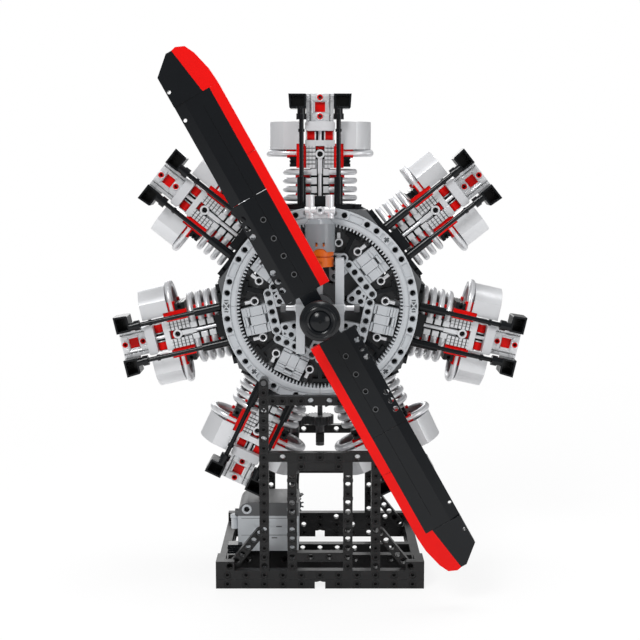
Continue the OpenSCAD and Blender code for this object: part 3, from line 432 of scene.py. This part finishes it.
def motor_fittings():
    """Bosses round the motor's pin holes, its seams and slots, and the lead's plug on its side."""
    left, right = low("motor_housing", 0), high("motor_housing", 0)
    bottom, top = low("motor_housing", 2), high("motor_band", 2)
    front = low("motor_housing", 1)
    bosses = Piece("motor_bosses")
    for x in (left + 8, right - 6):
        for z in (bottom + 6, top - 6):
            bosses.turned(MOTOR_BOSS, moved(x, front, z) @ TO_BACK, sides=24)
    for z in (bottom + 15, bottom + 23):
        bosses.block((left + 14, front - 0.5, z), (right - 1.5, front + 0.2, z + 5.5))
    bosses.done("light_grey", bevel=0.2)
    marks = Piece("motor_slots")
    for x, z in ((30, 11.5), (22, 21.8), (34, 21.8)):
        marks.block((left + x, front - 0.06, bottom + z), (left + x + 5, front + ROOT, bottom + z + 1))
    for z in (bottom + 14.2, bottom + 29.6):
        marks.block((left + 3, front - 0.04, z), (right - 1, front + ROOT, z + 0.35))
    marks.done("dark_grey", bevel=0)
    plug = Piece("lead_plug")
    for k in range(4):
        inset, z = 0.4 * (k % 2), bottom + 2 * k
        plug.block((left - 9 + inset, front - 8, z), (left + 4 - inset, front + 4, z + 2))
    plug.done("black", bevel=0.2)
    socket = Piece("motor_socket")
    socket.turned(MOTOR_SOCKET, moved(left - 3.4, front + 10, top - 26), sides=20)
    socket.done("light_grey", bevel=0.2)


# ---------- cylinders ----------

def head_ribs():
    """The raised posts, fine side ribs and pin eyes on the front of each rocker head."""
    piece = Piece("head_ribs")
    front = low("rocker_heads", 1)
    post = [(r, HEAD_R0 + h) for r, h in ((0, 7.2), (1.35, 7.2), (1.35, 17.8), (0, 17.8))]
    for station in stations():
        for side in (-1, 1):
            piece.turned(post, station @ moved(side * 7.2, front + 0.4, 0), sides=14)
            for foot in (HEAD_R0 + 1.2, HEAD_R0 + 18.6):
                for k in range(3):
                    z = foot + k * 1.5
                    piece.strip(side * 10.2, 1.6, front - 0.5, front + 0.3, z, z + 0.8, station)
            for z in (HEAD_R0 + 0.9, HEAD_R0 + 18.2):
                piece.strip(side * 5.6, 1.6, front - 0.45, front + 0.3, z, z + 4.6, station)
            piece.strip(side * 5, 0.55, front + 0.2, front + 3.1, HEAD_R0 + 8.4, HEAD_R0 + 16.9, station)
        for z in (HEAD_R0 + 4.6, HEAD_R0 + 20.8):
            piece.turned(HEAD_EYE, station @ moved(0, front, z) @ TO_BACK, sides=20)
    piece.done("flat_silver", bevel=0.15)


def barrel_flanges():
    """Silver washers on both sides of the red barrels under each white bar."""
    piece = Piece("barrel_flanges")
    for station in stations():
        for side in (-1, 1):
            for x in (3.4, 11.7):
                place = station @ moved(side * x, BARREL_Y, BARREL_R) @ sideways(side)
                piece.turned(BARREL_FLANGE, place, sides=20)
    piece.done("flat_silver", bevel=0.1)


def cylinder_groove_shade():
    """Painted shade: dark strips laid in the grooves of the column blocks and rocker heads where shade falls,
    and the ladder under the eye.
    """
    seams_and_groove_shade, ladder, stop = Piece("cylinder_groove_shade"), Piece("core_ladder"), Piece("eye_stop")
    column = low("column_blocks", 1)
    head = low("rocker_heads", 1)
    core = low("barrel_cores", 1)
    for station in stations():
        for side in (-1, 1):
            for k in range(5):
                z = COLUMN_R0 + 3.1 + 3.4 * k
                seams_and_groove_shade.strip(side * 8, 3.9, column + 0.35, column + 0.75, z, z + 0.7, station)
            for x in (6.9, 9.6):
                seams_and_groove_shade.strip(side * x, 0.13, column + 0.15, column + 0.45,
                            COLUMN_R0 + 0.1, COLUMN_R0 + 18.9, station)
            seams_and_groove_shade.strip(side * 8.6, 0.3, head + 0.4, head + 0.75, HEAD_R0 + 0.2, HEAD_R0 + 23.8, station)
            for z in (HEAD_R0 + 1.0, HEAD_R0 + 18.4):
                seams_and_groove_shade.strip(side * 8.7, 0.7, head - 0.02, head + 0.3, z, z + 4.6, station)
            ladder.strip(side * 3.2, 0.6, core - 0.5, core + ROOT, COLUMN_R0 - 0.5, COLUMN_R0 + 7.5, station)
        stop.strip(0, 3.6, core - 0.6, core + ROOT, COLUMN_R0 + 16, COLUMN_R0 + 18.6, station)
    # these dark grey strips are painted shade in the grooves, not parts of the engine
    seams_and_groove_shade.done("dark_grey", bevel=0)
    ladder.done("flat_silver", bevel=0.1)
    stop.done("red", bevel=0.1)


def red_spacers():
    """Red bushes in three rows between the fins, behind the pushrod tubes."""
    piece = Piece("red_spacers")
    for station in stations():
        for row in range(3):
            for side in (-1, 1):
                place = station @ moved(0, BUSH_Y, BUSH_R0 + row * PITCH) @ sideways(side)
                piece.turned(BUSH, place, sides=12)
    piece.done("red", bevel=0)


def loop_clips():
    """Red open rings that hold the head loops at their roots."""
    piece = Piece("loop_clips")
    for station in stations():
        for side in (-1, 1):
            for depth in LOOP_YS:
                place = station @ moved(side * 21.0, depth, LOOP_R) @ sideways(side)
                piece.turned(LOOP_CLIP, place, sides=16, start=-60, sweep=300)
    piece.done("red", bevel=0.15)


def corner_ribs():
    """Black ribbed connectors in the gaps between the feet of neighbouring cylinders."""
    piece = Piece("corner_ribs")
    ribs = [(0, -5.5)]
    for k in range(5):
        z = -5.5 + 2.2 * k
        ribs += [(3.6, z + 0.1), (3.6, z + 1.5), (3.0, z + 1.7), (3.0, z + 2.1)]
    ribs += [(0, 5.5)]
    for station in stations():
        for depth in CONNECTOR_YS:
            gap = station @ turn("Y", STATION / 2)
            piece.turned(ribs, gap @ moved(0, depth, CONNECTOR_R) @ sideways(1), sides=16)
    piece.done("black", bevel=0.1)


def blade_pins():
    """Plugs in the four pin holes of each blade, and the grey rims round their mouths."""
    rims, plugs = Piece("blade_pin_rims"), Piece("blade_pins")
    for blade in blades():
        for z in BLADE_HOLES:
            seat = blade @ moved(-2, BLADE_FACE, z) @ TO_BACK
            plugs.turned(BLADE_PLUG, seat, sides=20)
            rims.turned(BLADE_RIM, seat, sides=24)
    plugs.done("black", "crank", bevel=0)
    rims.done("dark_grey", "crank", bevel=0)


# ---------- case, piston and spinner ----------

def case_sockets():
    """Ribbed sockets behind the tappets, on the case plate inside the ring."""
    piece = Piece("case_sockets")
    plate = low("front_plate", 1)
    ribs = [(0, 0)]
    for k in range(4):
        z = k * 1.9
        ribs += [(3.3, z), (3.3, z + 1.1), (2.8, z + 1.2), (2.8, z + 1.8)]
    ribs += [(3.3, 7.6), (3.3, 8.6), (0, 8.6)]
    for station in stations():
        for side in (-1, 1):
            piece.turned(ribs, station @ moved(side * 16, plate - 3.2, SOCKET_R), sides=14)
            piece.strip(side * 16, 7, plate - 1.2, plate + 0.2, 46, 52, station)
    piece.done("dark_grey", bevel=0.2)


def connecting_rod():
    """The rod, with a big end that clears the cage's arms at both ends of its swing."""
    piece = Piece("slim_rod")
    solid_big_end, big_end, small_end, bore = 5, 4.4, 3.2, 2.45
    front, back = low("connecting_rod", 1), high("connecting_rod", 1)
    wrist = high("connecting_rod", 2) - small_end
    crankpin = low("connecting_rod", 2) + solid_big_end
    half = (back - front) / 2
    for level, outer in ((wrist, small_end), (crankpin, big_end)):
        piece.turned([(bore, -half), (outer, -half), (outer, half), (bore, half)],
                     moved(0, (front + back) / 2, level) @ TO_BACK, sides=32)
    piece.strip(0, 2.4, front, back, crankpin + 3, wrist - 2.7)
    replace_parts(piece.done("light_grey", "rod", bevel=0.2), "connecting_rod")


def piston_crown():
    """The top of the piston, which shows through the sleeve's two slots."""
    piece = Piece("piston_crown")
    piece.turned(CROWN, moved(0, piston_line(), high("piston", 2) - 0.2), sides=40)
    piece.done("orange", "piston", bevel=0)


def sleeve_caps():
    """The two cross barrels and the eye that hold the sleeve's top, in front of the ring gear."""
    piece = Piece("sleeve_caps")
    middle, level = piston_line(), SHAFT_Z + SLEEVE_TOP_R
    for side in (-1, 1):
        piece.turned(CROSS_BARREL, moved(side * 3.5, middle - 1.2, level) @ sideways(side), sides=24)
    piece.turned(SLEEVE_EYE, moved(0, middle - 2.8, level) @ TO_BACK, sides=24)
    piece.done("flat_silver", bevel=0.15)


def cage_axles():
    """The cross axle that shows on both sides of the front cage, and its sockets."""
    axle, sockets = Piece("cage_axle"), Piece("cage_axle_sockets")
    start = high("front_cage", 0)
    for side in (-1, 1):
        place = moved(side * start, piston_line(), SHAFT_Z) @ sideways(side)
        axle.turned(CAGE_AXLE, place, sides=20)
        sockets.turned(AXLE_SOCKET, place, sides=20)
    axle.done("flat_silver", bevel=0.1)
    sockets.done("dark_grey", bevel=0.2)


def spinner_face():
    """Glossy rings on the front of the spinner tyre, round the dome."""
    piece = Piece("spinner_face")
    piece.turned(SPINNER_RINGS, moved(0, low("spinner_tyre", 1), SHAFT_Z) @ TO_BACK, sides=48)
    piece.done("black", "crank", bevel=0)


stand_pins()
stand_relief()
rear_pins()
motor_fittings()
head_ribs()
barrel_flanges()
cylinder_groove_shade()
red_spacers()
loop_clips()
corner_ribs()
blade_pins()
case_sockets()
connecting_rod()
piston_crown()
sleeve_caps()
cage_axles()
spinner_face()


# ---------- studio, in metres ----------

WHITE = (1, 1, 1, 1)
ROOM_LIGHT = 0.36                   # strength of the world's light on the part
CAMERA_PLACE = (0, -1.131, 0.368)
CAMERA_DOWN = 7.25                  # degrees
LENS, SENSOR = 70.8, 36.0           # millimetres
LAMP_AIM = (0, 0, 0.22)
LAMPS = (                           # place, size and watts
    ("key", (-0.7, -1.4, 1.5), 0.6, 21),
    ("fill", (1.5, -1.3, 0.6), 0.9, 8),
    ("top", (0.1, 0.1, 1.7), 0.8, 16),
    ("back", (-0.4, 1.6, 0.9), 1.2, 9),
)
FLOOR_SIDE, FLOOR_NEAR, FLOOR_FAR = 30, -6, 60
PAPER, PAPER_LIGHT = (0.80, 0.80, 0.80), (0.84, 0.84, 0.84)
FADE_FROM, FADE_TO, NEAR_VEIL = 0.25, 1.1, 0.84     # the veil over the paper is whole at FADE_TO


def area_lamp(name, place, size, watts):
    lamp = bpy.data.lights.new(name, "AREA")
    lamp.shape, lamp.size, lamp.energy = "SQUARE", size, watts
    obj = bpy.data.objects.new(name, lamp)
    obj.location = place
    obj.rotation_euler = (Vector(LAMP_AIM) - Vector(place)).to_track_quat("-Z", "Y").to_euler()
    bpy.context.scene.collection.objects.link(obj)


def white_room(scene):
    """A world that is white to the camera and through clear plastic, and dimmer to all else."""
    scene.world = bpy.data.worlds.new("studio")
    room = Tree(scene.world)
    rays = [room.node("ShaderNodeLightPath", output=ray) for ray in ("Is Camera Ray", "Is Transmission Ray")]
    seen = room.node("ShaderNodeMath", {"operation": "MAXIMUM"}, dict(enumerate(rays)))
    dim, white = [room.node("ShaderNodeBackground", None, {"Color": WHITE, "Strength": strength})
                  for strength in (ROOM_LIGHT, 1.0)]
    lit = room.node("ShaderNodeMixShader", None, {0: seen, 1: dim, 2: white})
    room.node("ShaderNodeOutputWorld", None, {"Surface": lit})


def paper_floor(scene):
    """A white paper floor that takes the part's shadow and shows no horizon."""
    mesh = bpy.data.meshes.new("floor")
    mesh.from_pydata([(-FLOOR_SIDE, FLOOR_NEAR, 0), (FLOOR_SIDE, FLOOR_NEAR, 0),
                      (FLOOR_SIDE, FLOOR_FAR, 0), (-FLOOR_SIDE, FLOOR_FAR, 0)], [], [(0, 1, 2, 3)])
    floor = bpy.data.objects.new("floor", mesh)
    scene.collection.objects.link(floor)
    paper = Finish("floor_paper", Roughness=0.9)
    paper.drive(Base_Color=paper.between(paper.noise(3.0), PAPER, PAPER_LIGHT))
    glow = paper.node("ShaderNodeEmission", None, {"Color": WHITE, "Strength": 1.0})
    seen = paper.node("ShaderNodeLightPath", output="Is Camera Ray")
    # the paper fades to plain white away from the part, so no horizon shows
    away = paper.node("ShaderNodeVectorMath", {"operation": "LENGTH"}, {0: paper.place()}, output="Value")
    veil = paper.node("ShaderNodeMapRange", None,
                      {0: away, 1: FADE_FROM, 2: FADE_TO, 3: NEAR_VEIL, 4: 1.0})
    veiled = paper.node("ShaderNodeMixShader", None, {0: seen * veil, 1: paper.surface, 2: glow})
    paper.put(paper.out.inputs["Surface"], veiled)
    mesh.materials.append(paper.material)


def studio():
    scene = bpy.context.scene
    scene.view_settings.view_transform = "Standard"
    camera = bpy.data.objects.new("camera", bpy.data.cameras.new("camera"))
    camera.data.lens, camera.data.sensor_width = LENS, SENSOR
    camera.location = CAMERA_PLACE
    camera.rotation_euler = (math.radians(90 - CAMERA_DOWN), 0, 0)
    scene.collection.objects.link(camera)
    scene.camera = camera
    white_room(scene)
    paper_floor(scene)
    for lamp in LAMPS:
        area_lamp(*lamp)


studio()
